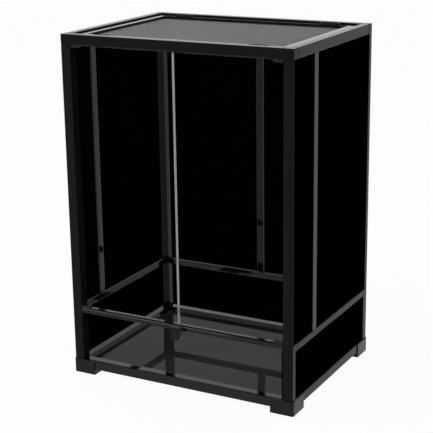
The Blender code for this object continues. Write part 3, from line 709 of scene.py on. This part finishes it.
class TERRARIUM_OT_make_seals(bpy.types.Operator):
    """Sets the lip seals, the glazing beads and the strip under the doors"""

    bl_idname = "terrarium.make_seals"
    bl_label = "Make Seals"

    def execute(self, context):
        rubber = black_rubber()
        seal = context.scene.terrarium_seal
        bar_low, bar_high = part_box("door_bar")
        top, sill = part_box("rail_top_front")[0].z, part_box("rail_bottom_front")[1].z
        post_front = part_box("post_front_left")[0].y + seal.setback
        window_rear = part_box("window_front_lower")[1].y + seal.bed
        for name, side in (("left", -1), ("right", 1)):
            lip_seal(f"door_seal_{name}", side, post_front, bar_high.z, top, rubber)
            lip_seal(f"window_seal_{name}", side, window_rear, sill, bar_low.z, rubber)
            glazing_bead(f"glazing_bead_{name}", side, sill, bar_low.z, rubber)
        sweep_strip(rubber)
        return {"FINISHED"}


class TERRARIUM_OT_finish_lock(bpy.types.Operator):
    """Finishes the lock's housing, key barrel and bolt"""

    bl_idname = "terrarium.finish_lock"
    bl_label = "Finish Lock"

    def execute(self, context):
        name, case, roughness, sheen = LOCK_FINISH
        paint(nodes_named(*case), moulded_abs(name, roughness, sheen))
        paint(nodes_named("lock_cylinder", "lock_bolt"), nickel_plated_zinc())
        return {"FINISHED"}


class TERRARIUM_OT_make_mesh_top(bpy.types.Operator):
    """Weaves the wire mesh, finishes the frame and ring that hold it and ribs the catches"""

    bl_idname = "terrarium.make_mesh_top"
    bl_label = "Make Mesh Top"

    def execute(self, context):
        name, holders, roughness, sheen = MESH_FRAME_FINISH
        paint(nodes_named(*holders), moulded_abs(name, roughness, sheen))
        mesh = woven_mesh()
        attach(mesh, "lid")
        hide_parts("screen_mesh")
        rubber = black_rubber()
        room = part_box("rail_top_front")[1].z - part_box("catch_front_left")[1].z
        for catch in ("front_left", "front_right", "back_left", "back_right"):
            thumb_ribs(catch, room - RIB_CLEARANCE, rubber)
        return {"FINISHED"}


def background_seen(tree):
    """1 for the rays that show the white background: straight, through glass or off a gloss."""
    rays = add_node(tree, "ShaderNodeLightPath").outputs
    straight = maths(tree, "MAXIMUM", rays["Is Camera Ray"], rays["Is Transmission Ray"])
    return maths(tree, "MAXIMUM", straight, rays["Is Glossy Ray"])


def studio_floor(settings):
    """A pale floor that the camera sees as a white sheet with the object's soft shadow."""
    finish, tree = new_finish("matt_studio_paper")
    tree.nodes.clear()
    tooth = pattern(tree, PAPER_TOOTH, detail=3.0)
    pale = settings.floor
    paper = add_node(tree, "ShaderNodeBsdfDiffuse", {
        "Color": shade_between(tree, tooth, pale, toned(pale, 0.98)),
    })
    sheet = add_node(tree, "ShaderNodeEmission", {"Color": (1, 1, 1, 1), "Strength": 1.0})
    share = maths(tree, "MULTIPLY", background_seen(tree), SHEET_SHARE)
    mixed = add_node(tree, "ShaderNodeMixShader", {
        0: share, 1: paper.outputs[0], 2: sheet.outputs[0],
    })
    add_node(tree, "ShaderNodeOutputMaterial", {"Surface": mixed.outputs[0]})
    shape = bmesh.new()
    bmesh.ops.create_grid(shape, x_segments=8, y_segments=8, size=settings.floor_size / 2)
    floor = finished_object("studio_floor", shape, finish)


def studio_room(settings):
    """White all round for the eye, the glass and the gloss, and an even light on the object."""
    world = bpy.data.worlds.new("studio_room")
    bpy.context.scene.world = world
    world.use_nodes = True
    tree = world.node_tree
    tree.nodes.clear()
    shown = add_node(tree, "ShaderNodeMix", {
        0: background_seen(tree), 2: settings.room_light, 3: 1.0,
    })
    back = add_node(tree, "ShaderNodeBackground", {
        "Color": (1, 1, 1, 1), "Strength": shown.outputs[0],
    })
    add_node(tree, "ShaderNodeOutputWorld", {"Surface": back.outputs[0]})


def studio_softbox(settings):
    """One large soft box, which hangs to the left in front of the object and points down."""
    lamp = bpy.data.lights.new("overhead_soft_box", "AREA")
    lamp.shape = "RECTANGLE"
    lamp.size, lamp.size_y = SOFTBOX_SIDES
    lamp.energy = settings.softbox_power
    softbox = bpy.data.objects.new("overhead_soft_box", lamp)
    softbox.location = SOFTBOX_PLACE
    bpy.context.scene.collection.objects.link(softbox)


def studio_camera(settings):
    """A camera at the photograph's place, turned 28 degrees to the right of the doors."""
    out = cos(CAMERA_HEIGHT)
    back = Vector((sin(CAMERA_TURN) * out, -cos(CAMERA_TURN) * out, sin(CAMERA_HEIGHT)))
    level = Vector((0, 0, 1)).cross(back).normalized()
    upward = back.cross(level)
    right = cos(CAMERA_ROLL) * level + sin(CAMERA_ROLL) * upward
    up = back.cross(right)
    data = bpy.data.cameras.new("studio_camera")
    data.lens = settings.lens
    data.sensor_width = SENSOR_WIDTH
    data.clip_end = CAMERA_REACH
    camera = bpy.data.objects.new("studio_camera", data)
    camera.matrix_world = (
        Matrix.Translation(CAMERA_PLACE)
        @ Matrix((right, up, back)).transposed().to_4x4()
    )
    bpy.context.scene.collection.objects.link(camera)
    bpy.context.scene.camera = camera


class TERRARIUM_OT_make_studio(bpy.types.Operator):
    """Sets up the floor, the room's light, the soft box and the camera"""

    bl_idname = "terrarium.make_studio"
    bl_label = "Make Studio"

    def execute(self, context):
        settings = context.scene.terrarium_studio
        studio_floor(settings)
        studio_room(settings)
        studio_softbox(settings)
        studio_camera(settings)
        context.scene.view_settings.view_transform = "Standard"
        return {"FINISHED"}


class TERRARIUM_PT_finishes(bpy.types.Panel):
    """Lists the settings of each group with the operators that use them"""

    bl_label = "Terrarium"
    bl_idname = "TERRARIUM_PT_finishes"
    bl_space_type = "VIEW_3D"
    bl_region_type = "UI"
    bl_category = "Terrarium"

    def draw(self, context):
        for group, operators in PANEL_ROWS:
            box = self.layout.box()
            settings = getattr(context.scene, group)
            for name in type(settings).__annotations__:
                box.prop(settings, name)
            for operator in operators:
                box.operator(operator.bl_idname)


SETTINGS = {
    "terrarium_frame": FrameFinishSettings,
    "terrarium_glass": GlassSettings,
    "terrarium_mesh_top": MeshTopSettings,
    "terrarium_seal": SealSettings,
    "terrarium_studio": StudioSettings,
}
PANEL_ROWS = (
    (
        "terrarium_frame",
        (TERRARIUM_OT_finish_tubes, TERRARIUM_OT_finish_mouldings, TERRARIUM_OT_finish_lock),
    ),
    ("terrarium_glass", (TERRARIUM_OT_finish_panes, TERRARIUM_OT_finish_doors)),
    ("terrarium_mesh_top", (TERRARIUM_OT_make_mesh_top,)),
    ("terrarium_seal", (TERRARIUM_OT_make_seals,)),
    ("terrarium_studio", (TERRARIUM_OT_make_studio,)),
)
OPERATORS = [operator for _, operators in PANEL_ROWS for operator in operators]


def register():
    for group in (*SETTINGS.values(), *OPERATORS, TERRARIUM_PT_finishes):
        bpy.utils.register_class(group)
    for name, group in SETTINGS.items():
        setattr(bpy.types.Scene, name, PointerProperty(type=group))


def unregister():
    for name in SETTINGS:
        delattr(bpy.types.Scene, name)
    for group in (TERRARIUM_PT_finishes, *reversed(OPERATORS), *reversed(SETTINGS.values())):
        bpy.utils.unregister_class(group)


def main():
    register()
    bpy.ops.terrarium.finish_tubes()
    bpy.ops.terrarium.finish_mouldings()
    bpy.ops.terrarium.finish_panes()
    bpy.ops.terrarium.finish_doors()
    bpy.ops.terrarium.make_seals()
    bpy.ops.terrarium.finish_lock()
    bpy.ops.terrarium.make_mesh_top()
    bpy.ops.terrarium.make_studio()


if __name__ == "__main__":
    main()
